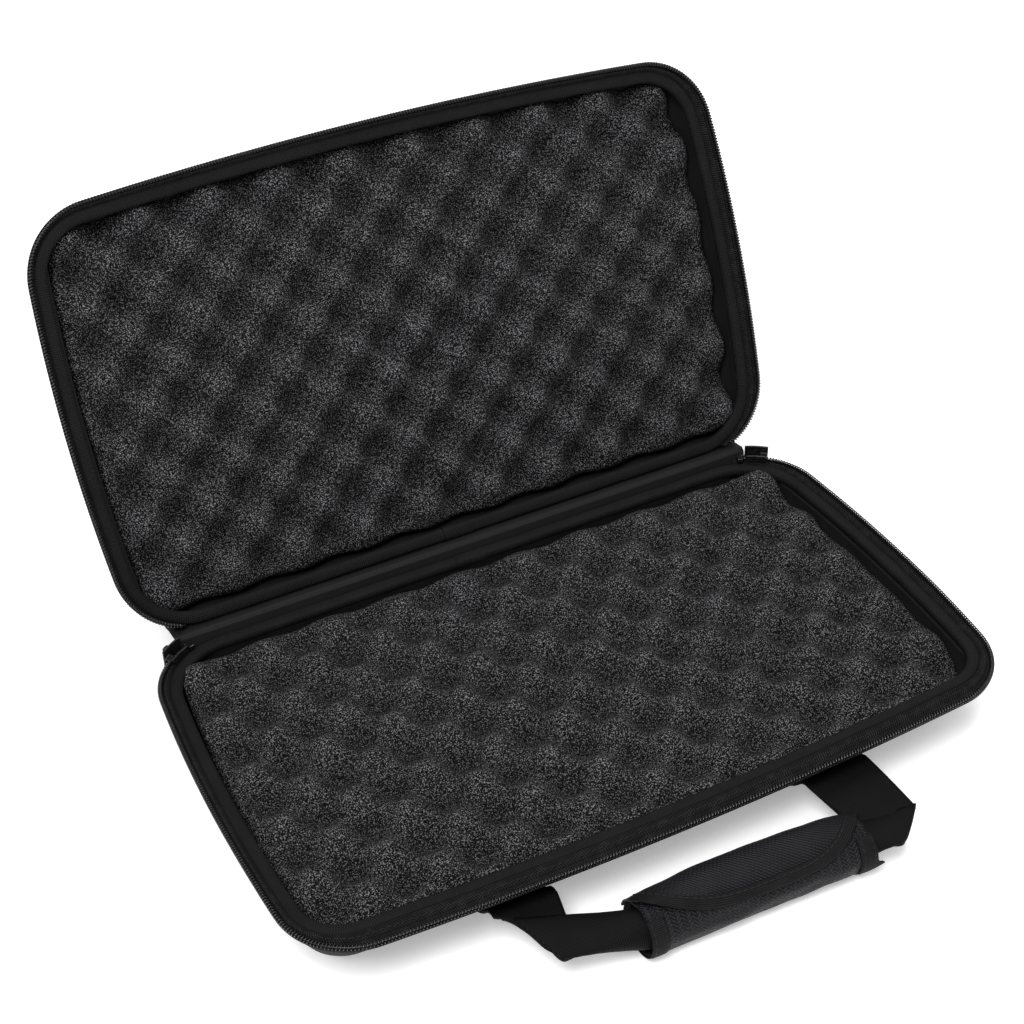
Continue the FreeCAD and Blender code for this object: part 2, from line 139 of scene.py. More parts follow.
def outline(front, side, back, corner, rear, density=1):
    """Closed outline as (n, 2) points from the middle of the back, clockwise seen from above."""
    front_arm = FRONT_RADIUS - front
    side_arm = SIDE_RADIUS - side
    low = meeting_point(FRONT_CENTRE, front_arm - corner, SIDE_CENTRE, side_arm - corner)
    high = rear_centre(side, back, rear)
    back_y = HALF_DEPTH - back
    start = np.array([0.0, back_y])
    turns = [
        np.array([high[0], back_y]),
        toward(SIDE_CENTRE, high, side_arm),
        toward(SIDE_CENTRE, low, side_arm),
        toward(FRONT_CENTRE, low, front_arm),
        np.array([0.0, FRONT_CENTRE[1] - front_arm]),
    ]
    steps = [count * density for count in STRETCH_STEPS]
    share = np.linspace(0, 1, steps[0], endpoint=False)[:, None]
    right = [
        start + (turns[0] - start) * share,
        arc_points(high, rear, turns[0], turns[1], steps[1]),
        arc_points(SIDE_CENTRE, side_arm, turns[1], turns[2], steps[2]),
        arc_points(low, corner, turns[2], turns[3], steps[3]),
        arc_points(FRONT_CENTRE, front_arm, turns[3], turns[4], steps[4]),
        turns[4][None],
    ]
    right = np.vstack(right)
    left = right[1:-1][::-1] * (-1, 1)
    return np.vstack([right, left])


def lip_outline(half, inward):
    insets = [inset + inward for inset in LIP_INSETS[half]]
    corners = [corner - inward for corner in LIP_CORNERS[half]]
    return outline(*insets, *corners) + (LIP_SHIFT[half], 0)


def zip_outline(inset, density=1):
    corner = ZIP_CORNER - inset
    return outline(inset, inset, inset, corner, corner, density)


def at_height(points, z):
    return np.c_[points, np.full(len(points), z)]


def smooth_step(value):
    share = np.clip(value, 0, 1)
    return share * share * (3 - 2 * share)


# Mesh building

STEEP = 0.95  # a cord rising more steeply than this takes its upward side from +Y
STITCH_LENGTH = 2.6 * MM
STITCH_GAP = 0.9 * MM
STITCH_BEND = np.array([-0.3, 0.03, 0.12, 0.03, -0.3]) * MM  # a stitch's height along its length
THREAD_RADIUS = 0.22 * MM
THREAD_SIDES = 5


def lid_matrix():
    """Turns a place on the base half into the same place on the open lid."""
    there = Matrix.Translation(HINGE)
    mirror = Matrix.Scale(-1, 4, Vector((0, 0, 1)))
    return there @ Matrix.Rotation(LID_OPEN, 4, Vector((-1, 0, 0))) @ mirror @ there.inverted()


LID = np.array(lid_matrix())


def on_half(points, half):
    """Places given as on the base half, moved to where they belong on either half."""
    points = np.asarray(points, float)
    if half == "base":
        return points
    return points @ LID[:3, :3].T + LID[:3, 3]


def lengths(points, closed):
    """Distance run along a row of points, with one more entry if the row closes on itself."""
    if closed:
        points = np.vstack([points, points[:1]])
    steps = np.linalg.norm(np.diff(points, axis=0), axis=1)
    return np.hstack([0.0, np.cumsum(steps)])


def sheet(points, close_u=False, close_v=False, along=None):
    """A grid of quads: (rows, columns, 3) points, and whether columns or rows close on themselves.

    along gives each point's distance along the cloth where the grid's own columns don't follow it.
    """
    return np.asarray(points, float), close_u, close_v, along


def build(name, sheets, material):
    """One object from several sheets. UVs are metres: u along the columns, v along the rows."""
    verts, faces, uvs = [], [], []
    for points, close_u, close_v, along in sheets:
        rows, columns = points.shape[:2]
        base = sum(len(part) for part in verts)
        verts.append(points.reshape(-1, 3))
        run_u = lengths(points[rows // 4], close_u)
        run_v = lengths(points[:, columns // 2], close_v)
        shape = (rows if close_v else rows - 1, columns if close_u else columns - 1)
        row, column = (grid.ravel() for grid in np.indices(shape))
        next_row = (row + 1) % rows
        next_column = (column + 1) % columns
        corners = ((row, column), (row, next_column), (next_row, next_column), (next_row, column))
        faces.append(np.stack([r * columns + c for r, c in corners], axis=-1) + base)
        corner_u = np.c_[run_u[column], run_u[column + 1], run_u[column + 1], run_u[column]]
        if along is not None:
            corner_u = np.stack([along[spot] for spot in corners], axis=-1)
        corner_v = np.c_[run_v[row], run_v[row], run_v[row + 1], run_v[row + 1]]
        uvs.append(np.stack([corner_u, corner_v], axis=-1).reshape(-1, 2))
    mesh = bpy.data.meshes.new(name)
    mesh.from_pydata(np.vstack(verts).tolist(), [], np.vstack(faces).tolist())
    layer = mesh.uv_layers.new(name="cloth")
    layer.data.foreach_set("uv", np.vstack(uvs).astype(np.float32).ravel())
    return finish_mesh(mesh, material)


def finish_mesh(mesh, material):
    tidy = bmesh.new()
    tidy.from_mesh(mesh)
    bmesh.ops.recalc_face_normals(tidy, faces=tidy.faces)
    tidy.to_mesh(mesh)
    tidy.free()
    mesh.polygons.foreach_set("use_smooth", [True] * len(mesh.polygons))
    mesh.materials.append(material)
    piece = bpy.data.objects.new(mesh.name, mesh)
    bpy.context.scene.collection.objects.link(piece)
    return piece


def tube(path, radius, sides):
    """Round cord along a path, as a sheet."""
    along = unit(np.gradient(path, axis=0))
    up = np.tile([0.0, 0.0, 1.0], (len(path), 1))
    steep = np.abs(along[:, 2]) > STEEP
    up[steep] = (0.0, 1.0, 0.0)
    side = unit(np.cross(along, up))
    up = np.cross(side, along)
    spokes = [side * math.cos(turn) + up * math.sin(turn) for turn in TAU * np.arange(sides) / sides]
    return sheet([path + radius * spoke for spoke in spokes], close_v=True)


def resample(path, spacing):
    """Evenly spaced points along a row of points."""
    run = lengths(path, False)
    count = max(2, int(round(run[-1] / spacing)) + 1)
    goal = np.linspace(0, run[-1], count)
    return np.stack([np.interp(goal, run, path[:, axis]) for axis in range(path.shape[1])], axis=-1)


def stitches(path, lift):
    """A row of sewn stitches along a path, each one a short cord that dips into the cloth at both ends."""
    pitch = STITCH_LENGTH + STITCH_GAP
    path = resample(path, pitch)
    share = np.linspace(0, STITCH_LENGTH / pitch, len(STITCH_BEND))[:, None]
    bend = np.outer(STITCH_BEND, lift)
    ends = zip(path[:-1], path[1:])
    return [tube(start + (end - start) * share + bend, THREAD_RADIUS, THREAD_SIDES) for start, end in ends]


# Materials

FOAM_CELL = 0.75 * MM
FOAM_PAINTED_GLINT = 0.68 * MM
FOAM_PORE = 1.1 * MM
KNIT_COURSE = 1.15 * MM
KNIT_WALE = 0.9 * MM
TAPE_RIB = 1.25 * MM
TAPE_LINE = 2.3 * MM
SHELL_YARN = 1.1 * MM
WEBBING_RIB = 1.05 * MM
WEBBING_WARP = 1.6 * MM
NYLON_YARN = 2.1 * MM
NYLON_PICK = 1.3 * MM
HERRINGBONE = 5.0 * MM
BINDING_RIB = 1.0 * MM
THREAD_TWIST = 0.5 * MM


class Shader:
    """A material's nodes, with short ways to add and join them."""

    def __init__(self, name):
        self.material = bpy.data.materials.new(name)
        self.material.use_nodes = True
        self.tree = self.material.node_tree
        self.surface = self.tree.nodes["Principled BSDF"]
        self.place = self.node("TexCoord").outputs["Object"]

    def put(self, socket, value):
        if isinstance(value, bpy.types.NodeSocket):
            self.tree.links.new(value, socket)
        else:
            socket.default_value = value

    def fill(self, node, **values):
        """Sets or joins a node's inputs, such as Roughness=0.5."""
        for name, value in values.items():
            self.put(node.inputs[name.replace("_", " ")], value)
        return node

    def node(self, kind, **values):
        return self.fill(self.tree.nodes.new("ShaderNode" + kind), **values)

    def calc(self, operation, *values):
        node = self.node("Math")
        node.operation = operation
        for socket, value in zip(node.inputs, values):
            self.put(socket, value)
        return node.outputs[0]

    def blend(self, low, high, share):
        """Value or colour between low and high."""
        node = self.node("Mix")
        colour = any(isinstance(v, tuple) or getattr(v, "type", "") == "RGBA" for v in (low, high))
        node.data_type = "RGBA" if colour else "FLOAT"
        sockets = [s for s in node.inputs if s.enabled]
        for socket, value in zip(sockets, (share, low, high)):
            self.put(socket, value)
        return next(s for s in node.outputs if s.enabled)

    def uv(self):
        """Metres along and across the cloth."""
        pin = self.node("UVMap")
        pin.uv_map = "cloth"
        split = self.node("SeparateXYZ", Vector=pin.outputs[0])
        return split.outputs[0], split.outputs[1]

    def grain(self, size, detail=2.0, rough=0.5):
        """Noise from 0 to 1 with lumps of this size."""
        node = self.node("TexNoise", Vector=self.place, Scale=1 / size, Detail=detail, Roughness=rough)
        return node.outputs[0]

    def cells(self, size):
        """Distance to the nearest of many scattered points, for open-cell foam."""
        return self.node("TexVoronoi", Vector=self.place, Scale=1 / size).outputs["Distance"]

    def ripple(self, run, pitch, shift=0.0):
        """Wave from 0 to 1 along a run in metres."""
        turn = self.calc("MULTIPLY_ADD", run, TAU / pitch, shift)
        return self.calc("MULTIPLY_ADD", self.calc("COSINE", turn), 0.5, 0.5)

    def range(self, value, low, high):
        """Value stretched so that low becomes 0 and high becomes 1, and cut off outside."""
        return self.node("MapRange", Value=value, From_Min=low, From_Max=high).outputs[0]

    def finish(self, colour, rough, shine, height, depth, strength):
        """Sets the surface, with bumps of this height over this depth, and returns the material."""
        bump = self.node("Bump", Height=height, Distance=depth, Strength=strength)
        self.fill(self.surface, Base_Color=colour, Roughness=rough, Specular_IOR_Level=shine)
        self.fill(self.surface, Normal=bump.outputs[0])
        return self.material


def grey(level, blue=1.0):
    return (level, level, level * blue, 1.0)


def foam_material():
    """Open-cell foam: charcoal, with painted glints scattered over dark pores. Pits, rim and walls get
    painted shade.
    """
    s = Shader("egg_crate_foam")
    fine = s.grain(FOAM_CELL, 1.0, 0.6)
    # painted highlight: scattered bright specks of glinting light in the foam's colour
    painted_glint = s.range(s.grain(FOAM_PAINTED_GLINT, 1.0, 0.6), 0.55, 0.63)
    pit = s.node("Attribute")
    pit.attribute_name = "pit"
    # painted shade: the pit layer darkens the foam's colour, down to half in the pits
    light = s.blend(1.0, 0.5, s.range(pit.outputs["Fac"], 0.1, 0.9))
    body = s.blend(grey(0.0, 1.05), grey(0.013, 1.05), s.range(fine, 0.4, 0.6))
    tint = s.blend(body, grey(0.2, 1.04), s.calc("MULTIPLY", painted_glint, 0.75))
    pores = s.calc("ADD", fine, s.cells(FOAM_PORE))
    return s.finish(s.blend(grey(0.0), tint, light), 0.95, 0.06, pores, 0.5 * MM, 0.8)


def knit_material():
    """Stretch knit over padding: fine courses across the lip and a slight sheen."""
    s = Shader("lip_knit")
    u, v = s.uv()
    sway = s.calc("MULTIPLY_ADD", s.grain(6 * MM), 0.6 * MM, u)
    loops = s.calc("MULTIPLY", s.ripple(sway, KNIT_COURSE), s.ripple(v, KNIT_WALE))
    patch = s.grain(14 * MM, 3.0)
    body = s.blend(grey(0.001), grey(0.03), s.calc("MULTIPLY", loops, patch))
    height = s.calc("MULTIPLY_ADD", s.grain(1.0 * MM), 0.5, loops)
    return s.finish(body, s.blend(0.6, 0.75, patch), 0.14, height, 0.35 * MM, 1.0)


def tape_material():
    """Woven zip tape: ribs square to the edge, and thin lines along it."""
    s = Shader("zip_tape")
    u, v = s.uv()
    ribs = s.ripple(u, TAPE_RIB)
    lines = s.ripple(v, TAPE_LINE)
    height = s.calc("MULTIPLY_ADD", s.range(lines, 0.0, 0.25), 0.6, ribs)
    wear = s.range(s.grain(5 * MM, 4.0), 0.45, 0.75)
    body = s.blend(grey(0.001), grey(0.024), s.calc("MULTIPLY", ribs, s.blend(0.35, 1.0, wear)))
    return s.finish(body, 0.7, 0.1, height, 0.4 * MM, 1.0)


def shell_material():
    """Cloth bonded to the moulded shell: a tight, fine weave."""
    s = Shader("shell_cloth")
    u, v = s.uv()
    over = s.calc("MULTIPLY", s.ripple(u, SHELL_YARN), s.ripple(v, SHELL_YARN))
    under = s.calc("MULTIPLY", s.ripple(u, SHELL_YARN, math.pi), s.ripple(v, SHELL_YARN, math.pi))
    weave = s.calc("ADD", over, under)
    patch = s.grain(30 * MM, 4.0)
    body = s.blend(grey(0.003, 1.03), grey(0.014, 1.03), s.calc("MULTIPLY", weave, s.blend(0.6, 1.0, patch)))
    height = s.calc("MULTIPLY_ADD", s.grain(0.5 * MM), 0.3, weave)
    return s.finish(body, s.blend(0.55, 0.72, patch), 0.14, height, 0.18 * MM, 0.8)


def coil_material():
    """Nylon filament: black, smooth and a little shiny."""
    s = Shader("zip_coil")
    scuff = s.grain(2.5 * MM, 4.0)
    body = s.blend(grey(0.002), grey(0.006), scuff)
    return s.finish(body, s.blend(0.16, 0.28, scuff), 0.45, scuff, 0.05 * MM, 0.4)


def webbing_material():
    """Polyester webbing: ribs across its width, broken up by the warp threads."""
    s = Shader("webbing")
    u, v = s.uv()
    warp = s.ripple(v, WEBBING_WARP)
    ribs = s.ripple(s.calc("MULTIPLY_ADD", warp, 0.1 * MM, u), WEBBING_RIB)
    height = s.calc("MULTIPLY_ADD", warp, 0.2, ribs)
    patch = s.grain(12 * MM, 3.0)
    body = s.blend(grey(0.001), grey(0.0095), s.calc("MULTIPLY", ribs, s.blend(0.5, 1.0, patch)))
    return s.finish(body, 0.65, 0.06, height, 0.18 * MM, 0.8)


def nylon_material(name, herringbone):
    """Nylon of slightly shiny, faintly blue yarn, woven as a plain twill or as a herringbone."""
    s = Shader(name)
    u, v = s.uv()
    slant = s.calc("ADD", u, v)
    if herringbone:
        side = s.range(s.ripple(u, HERRINGBONE), 0.4, 0.6)
        slant = s.blend(slant, s.calc("SUBTRACT", u, v), side)
    sway = s.calc("MULTIPLY_ADD", s.grain(5 * MM), 0.7 * MM, slant)
    yarn = s.ripple(sway, NYLON_YARN)
    picks = s.ripple(v, NYLON_PICK)
    weave = s.calc("MULTIPLY", yarn, s.blend(0.4, 1.0, picks))
    patch = s.grain(16 * MM, 3.0)
    body = s.blend(grey(0.001, 1.2), grey(0.026, 1.22), s.calc("MULTIPLY", weave, s.blend(0.45, 1.0, patch)))
    return s.finish(body, s.blend(0.42, 0.6, weave), 0.12, weave, 0.45 * MM, 1.0)


def binding_material():
    """Grosgrain binding tape: narrow ribs across its width."""
    s = Shader("binding_tape")
    _, v = s.uv()
    ribs = s.ripple(v, BINDING_RIB)
    patch = s.grain(8 * MM, 3.0)
    body = s.blend(grey(0.002), grey(0.018), s.calc("MULTIPLY", ribs, patch))
    height = s.calc("MULTIPLY_ADD", s.grain(0.8 * MM), 0.3, ribs)
    return s.finish(body, 0.7, 0.09, height, 0.2 * MM, 0.9)


def fuzz_material():
    """Hook-and-loop tape: a matted pile."""
    s = Shader("hook_and_loop")
    pile = s.grain(0.7 * MM, 3.0, 0.8)
    return s.finish(s.blend(grey(0.003), grey(0.014), pile), 0.95, 0.08, pile, 0.5 * MM, 1.0)


def metal_material():
    """Satin black enamel on die-cast zinc, a little rubbed."""
    s = Shader("slider_metal")
    rubbed = s.range(s.grain(2 * MM, 4.0), 0.4, 0.75)
    body = s.blend(grey(0.003), grey(0.012), rubbed)
    return s.finish(body, s.blend(0.3, 0.45, rubbed), 0.25, s.grain(0.4 * MM), 0.04 * MM, 0.4)


def thread_material():
    """Twisted sewing thread."""
    s = Shader("thread")
    u, v = s.uv()
    twist = s.ripple(s.calc("MULTIPLY_ADD", v, 1.2, u), THREAD_TWIST)
    return s.finish(s.blend(grey(0.004), grey(0.018), twist), 0.5, 0.2, twist, 0.06 * MM, 0.8)


FOAM = foam_material()
KNIT = knit_material()
TAPE = tape_material()
SHELL = shell_material()
COIL = coil_material()
WEBBING = webbing_material()
SLEEVE_NYLON = nylon_material("sleeve_nylon", herringbone=True)
FLAP_NYLON = nylon_material("flap_nylon", herringbone=False)
BINDING = binding_material()
FUZZ = fuzz_material()
METAL = metal_material()
THREAD = thread_material()


def join_frame(piece, body, slot, *nodes):
    """Rides a piece on a body and lets it stand for CAD nodes. slot is not used."""
    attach(piece, body)
    if nodes:
        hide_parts(*nodes)


def add(name, sheets, material, body, slot, *nodes):
    join_frame(build(name, sheets, material), body, slot, *nodes)


# Shell

FRONT_WALL = {"base": 13.0 * MM, "lid": 7.0 * MM}
SIDE_WALL = HALF_WIDTH - shell_high.x
BACK_WALL = HALF_DEPTH - shell_high.y
SHELL_CORNER = 20.0 * MM
SHELL_THICK = 4.0 * MM
EDGE_ROUND = 34.0 * MM
BACK_ROUND = 12.0 * MM
ROUND_TOP = 31.0 * MM
OUTER_STEPS = 14
INNER_STEPS = 8
RIDGE_HALF = 100.0 * MM  # each floor closes on a line this long each way
FLOOR_STEPS = 10


def shell_outline(half, gap, tuck):
    """The shell's outline, moved in by gap, where the rounding has drawn it in by this share."""
    edge = gap + EDGE_ROUND * tuck
    back = BACK_WALL + gap + BACK_ROUND * tuck
    corner = SHELL_CORNER - gap
    return outline(FRONT_WALL[half] + edge, SIDE_WALL + edge, back, corner, corner)


def shell_rows(half, gap, floor, steps):
    """Rows of one skin of the shell, from the rim down and in to the middle of the floor."""
    rows = [at_height(shell_outline(half, gap, 0), shell_high.z)]
    for turn in np.linspace(0, math.pi / 2, steps + 1):
        z = ROUND_TOP - (ROUND_TOP - floor) * math.sin(turn)
        rows.append(at_height(shell_outline(half, gap, 1 - math.cos(turn)), z))
    return rows


def floor_rows(edge):
    """Rows that close a floor, from its edge to a line along its middle."""
    ridge = edge.copy()
    ridge[:, 0] = np.clip(edge[:, 0], -RIDGE_HALF, RIDGE_HALF)
    ridge[:, 1] = edge[:, 1].mean()
    return [edge + (ridge - edge) * share for share in np.linspace(0, 1, FLOOR_STEPS)[1:]]


def shell(half):
    outer = shell_rows(half, 0, shell_low.z, OUTER_STEPS)
    outer += floor_rows(outer[-1])
    inner = shell_rows(half, SHELL_THICK, SHELL_THICK, INNER_STEPS)
    inner += floor_rows(inner[-1])
    cloth = sheet([on_half(row, half) for row in outer[::-1] + inner], close_u=True)
    add(f"{half}_shell_cloth", [cloth], SHELL, half, "shell_cloth", f"{half}_shell")


# Padded lip

LIP_SIDES = 20
LIP_SQUARE = 0.72  # below 1 the section is squarer than an ellipse
LIP_PUFF = 0.45 * MM  # how far the padding's top swells and sinks
LIP_PUFF_LENGTH = 16.0 * MM
LIP_PUFF_TURN = 0.15  # how fast the swelling changes round the section
JOIN_SPAN = (-16.0 * MM, 2.0 * MM)  # the knit's join, at the back
JOIN_STEPS = 7
JOIN_RISE = 0.35 * MM


def power(value, exponent):
    return math.copysign(abs(value) ** exponent, value)


def lip_section(turn, grow=0.0):
    """(inward, z) of the lip's section at this angle: 0 is its outer side, a quarter turn its top."""
    inward = LIP_WIDTH / 2 - (LIP_WIDTH / 2 + grow) * power(math.cos(turn), LIP_SQUARE)
    middle = (lip_low.z + lip_high.z) / 2
    half = (lip_high.z - lip_low.z) / 2 + grow
    return inward, middle + half * power(math.sin(turn), LIP_SQUARE)


def lip(half, seed):
    """Padding in a knit cover, with a short sleeve over the cover's join."""
    rows = []
    join = []
    for step in range(LIP_SIDES):
        turn = TAU * step / LIP_SIDES
        inward, z = lip_section(turn)
        row = at_height(lip_outline(half, inward), z)
        places = [(*point[:2] / LIP_PUFF_LENGTH, seed + step * LIP_PUFF_TURN) for point in row]
        puff = np.array([noise.noise(Vector(place)) for place in places])
        row[:, 2] += puff * LIP_PUFF * max(0.0, math.sin(turn))
        rows.append(on_half(row, half))
        inward, z = lip_section(turn, JOIN_RISE)
        x = np.linspace(*JOIN_SPAN, JOIN_STEPS)
        y = np.full(JOIN_STEPS, HALF_DEPTH - LIP_INSETS[half][2] - inward)
        join.append(on_half(at_height(np.c_[x, y], z), half))
    sheets = [sheet(rows, close_u=True, close_v=True), sheet(join, close_v=True)]
    add(f"{half}_lip_knit", sheets, KNIT, half, "lip_knit", f"{half}_rim_binding")


# Zip tape and coil

TAPE_FOOT = 1.4 * MM  # the tape's underside leaves the shell this far outside the lip
TAPE_TUCK = 3.5 * MM  # and its sewn edge lies this far under it
TAPE_TOP_INSET = 0.4 * MM
TAPE_LOW = 38.2 * MM  # heights of its upper face, at the lip and at the coil
TAPE_HIGH = 39.2 * MM
TAPE_STEPS = 16
TAPE_EDGE = 0.6 * MM
TAPE_ROOT_DROP = 0.3 * MM
TAPE_OVERLAP = 0.2 * MM  # its upper face starts this far under the lip
TAPE_CURVE = 0.45  # below 1 the upper face rises most beside the lip
TAPE_GROOVE = 1.0 * MM
GROOVE_PLACE = 0.52  # the groove's share of the tape's width, and how wide it is
GROOVE_WIDTH = 0.05
SEAM_PLACE = 0.3
SEAM_RISE = 0.2 * MM
TAPE_DROOP = {"base": 1.4 * MM, "lid": 0.4 * MM}  # how far its edge hangs at the middle of the front
DROOP_START = 0.2  # where the droop starts, forward of the middle, and its length, in the half's depth
DROOP_LENGTH = 0.7
COIL_INSET = {"base": 1.3 * MM, "lid": 1.5 * MM}
COIL_PITCH = 1.65 * MM
COIL_Z = PARTING_Z - 2.0 * MM
COIL_SIZE = 1.05 * MM
FILAMENT = 0.42 * MM
COIL_DENSITY = 4
COIL_SIDES = 6
COIL_STEPS = 10
CORE_SIZE = 0.35 * COIL_SIZE
CORE_STEP = 3.0 * MM
CORE_SIDES = 8


def zip_part(points):
    """Which points of an outline lie on the zip, from one end of it round the front to the other."""
    from_pivot = np.c_[np.abs(points[:, 0]), points[:, 1]] - rear_centre(0, 0, ZIP_CORNER)
    turn = np.arctan2(from_pivot[:, 1], from_pivot[:, 0])
    return (from_pivot[:, 1] < 0) | ((from_pivot[:, 0] > 0) & (turn < ZIP_END))


def droop(half, points):
    """How far the tape's edge hangs at these places: not at all at the sides, fully along the front."""
    return TAPE_DROOP[half] * smooth_step((-points[:, 1] / HALF_DEPTH - DROOP_START) / DROOP_LENGTH)


def tape_under(half, share):
    """Row of the tape's lower face, at this share of its width."""
    foot = at_height(lip_outline(half, -TAPE_FOOT), tape_low.z)
    top = at_height(zip_outline(TAPE_TOP_INSET), tape_high.z - TAPE_EDGE)
    top[:, 2] -= droop(half, top)
    return foot + (top - foot) * share


def tape_over(half, share):
    """Row of the tape's upper face: steep at the lip, then flat, with a groove along its middle."""
    foot = at_height(lip_outline(half, -TAPE_OVERLAP), TAPE_LOW)
    top = at_height(zip_outline(TAPE_TOP_INSET), TAPE_HIGH)
    row = foot + (top - foot) * share
    row[:, 2] = TAPE_LOW + (TAPE_HIGH - TAPE_LOW) * share**TAPE_CURVE - droop(half, top) * share
    row[:, 2] -= TAPE_GROOVE * math.exp(-(((share - GROOVE_PLACE) / GROOVE_WIDTH) ** 2))
    return row


def zip_tape(half):
    keep = zip_part(zip_outline(0))
    shares = np.linspace(0, 1, TAPE_STEPS)
    root = at_height(lip_outline(half, TAPE_TUCK), tape_low.z - TAPE_ROOT_DROP)
    under = [root] + [tape_under(half, share) for share in shares]
    over = [tape_over(half, share) for share in shares[::-1]]
    cloth = sheet([on_half(row[keep], half) for row in under + over], close_v=True)
    add(f"{half}_zip_tape_woven", [cloth], TAPE, half, "zip_tape", f"{half}_zip_tape")


def tape_stitches(half):
    keep = zip_part(zip_outline(0))
    path = on_half(tape_over(half, SEAM_PLACE)[keep] + (0, 0, SEAM_RISE), half)
    up = on_half((0, 0, 1), half) - on_half((0, 0, 0), half)
    add(f"{half}_zip_stitches", stitches(path, up), THREAD, half, "zip_tape")


def zip_coil(half):
    """One filament wound along the tape's edge."""
    line = zip_outline(COIL_INSET[half], COIL_DENSITY)
    line = at_height(line[zip_part(line)], COIL_Z)
    line[:, 2] -= droop(half, line)
    run = lengths(line, False)
    count = int(run[-1] / COIL_PITCH)
    goal = np.linspace(0, run[-1], count * COIL_STEPS + 1)
    centre = np.stack([np.interp(goal, run, line[:, axis]) for axis in range(3)], axis=-1)
    side = np.cross(unit(np.gradient(centre, axis=0)), (0, 0, 1))
    turn = TAU * goal / (run[-1] / count)
    path = centre + COIL_SIZE * (side * np.cos(turn)[:, None] + np.outer(np.sin(turn), (0, 0, 1)))
    core = tube(resample(centre, CORE_STEP), CORE_SIZE, CORE_SIDES)
    sheets = [tube(path, FILAMENT, COIL_SIDES), core]
    sheets = [(on_half(points, half), *rest) for points, *rest in sheets]
    add(f"{half}_zip_teeth", sheets, COIL, half, "zip_coil", f"{half}_zip_coil")


# Egg-crate foam

CRATE_PITCH = 38.0 * MM
CRATE_DEPTH = 13.0 * MM
FOAM_STEP = 1.7 * MM
FOAM_INSETS = {"base": (20.0 * MM, 14.6 * MM, 7.4 * MM), "lid": (11.4 * MM, 14.6 * MM, 8.4 * MM)}
FOAM_CORNER = 20.0 * MM
EDGE_DENSITY = 5
FOAM_RISE = {"base": 3.4 * MM, "lid": 0.8 * MM}  # how much higher it sits at the back
EDGE_SOFT = 2.0 * MM  # how far the rim is rounded down, and over what width
EDGE_SOFT_WIDTH = 5.0 * MM
EDGE_BAND = 5.0 * MM  # the crate's shape runs straight out to the edge over this width
SCALLOP = 1.0 * MM  # how far the edge draws in beside each pit, and how much more along the back
BACK_SCALLOP = 1.6 * MM
CRATE_POWER = 1.05
RISE_START = 0.35  # where the rise starts, behind the middle, and its length, in the half's depth
RISE_LENGTH = 0.55
LUMP = 0.7 * MM
LUMP_LENGTH = 30.0 * MM
TOP_GAP = 0.4 * MM
RIM_ROOM = 0.55 * FOAM_STEP  # the grid stops this far inside the rim
RIM_SHADE = 1 / 3  # how much the rounded rim is shaded like a pit
SMOOTH_BAND = 6 * FOAM_STEP
SMOOTH_ROUNDS = 6
RIM_DROPS = (1.2 * MM, 5.0 * MM)
FOOT_RISE = 9.0 * MM  # the walls run in to a foot this far above the sheet's underside
FOOT_SHRINK = 0.92


def crate(x, y):
    """0 on a peak and 1 in the bottom of a pit."""
    wave = np.cos(TAU * x / CRATE_PITCH) * np.cos(TAU * y / CRATE_PITCH)
    return ((1 - wave) / 2) ** CRATE_POWER


def edge_finder(edge):
    """Finder of (nearest edge point, distance inside it, outward direction) for a place on the foam."""
    tree = kdtree.KDTree(len(edge))
    for index, point in enumerate(edge):
        tree.insert((point[0], point[1], 0), index)
    tree.balance()
    along = np.roll(edge, -1, axis=0) - np.roll(edge, 1, axis=0)
    outward = unit(np.c_[-along[:, 1], along[:, 0]])

    def find(x, y):
        _, index, _ = tree.find((x, y, 0))
        return edge[index], (edge[index] - (x, y)) @ outward[index], outward[index]

    return find


def foam_shape(find, x, y):
    """(pit, how far the edge is drawn in, distance inside the plain edge) at a place on the foam."""
    _, away, outward = find(x, y)
    back = max(0.0, EDGE_BAND - away)
    pit = crate(x - outward[0] * back, y - outward[1] * back)
    draw = (SCALLOP + BACK_SCALLOP * max(0.0, outward[1]) ** 2) * pit
    return pit, draw, away


def foam_grid(find, edge):
    """Flat grid of quads that fills the outline, its rim pulled out to the scalloped edge."""
    flat = bmesh.new()
    low, high = edge.min(0), edge.max(0)
    made = {}
    for i, x in enumerate(np.arange(low[0], high[0], FOAM_STEP)):
        for j, y in enumerate(np.arange(low[1], high[1], FOAM_STEP)):
            if find(x, y)[1] > foam_shape(find, x, y)[1] + RIM_ROOM:
                made[i, j] = flat.verts.new((x, y, 0))
    for i, j in list(made):
        ring = [(i, j), (i + 1, j), (i + 1, j + 1), (i, j + 1)]
        if all(spot in made for spot in ring):
            flat.faces.new([made[spot] for spot in ring])
    bmesh.ops.delete(flat, geom=[v for v in flat.verts if not v.link_faces], context="VERTS")
    for vert in [v for v in flat.verts if v.is_boundary]:
        point, _, outward = find(vert.co.x, vert.co.y)
        draw = foam_shape(find, point[0], point[1])[1]
        vert.co.x = point[0] - outward[0] * draw
        vert.co.y = point[1] - outward[1] * draw
    near = [v for v in flat.verts if not v.is_boundary and find(v.co.x, v.co.y)[1] < SMOOTH_BAND]
    for _ in range(SMOOTH_ROUNDS):
        bmesh.ops.smooth_vert(flat, verts=near, factor=0.5, use_axis_x=True, use_axis_y=True)
    return flat


def extend_rim(flat, pit, border):
    """New wall faces from the rim, given a pit's full painted shade. Returns the new rim and its points."""
    made = bmesh.ops.extrude_edge_only(flat, edges=border)["geom"]
    border = [g for g in made if isinstance(g, bmesh.types.BMEdge)]
    verts = {v for e in border for v in e.verts}
    for vert in verts:
        vert[pit] = 1.0
    return border, verts


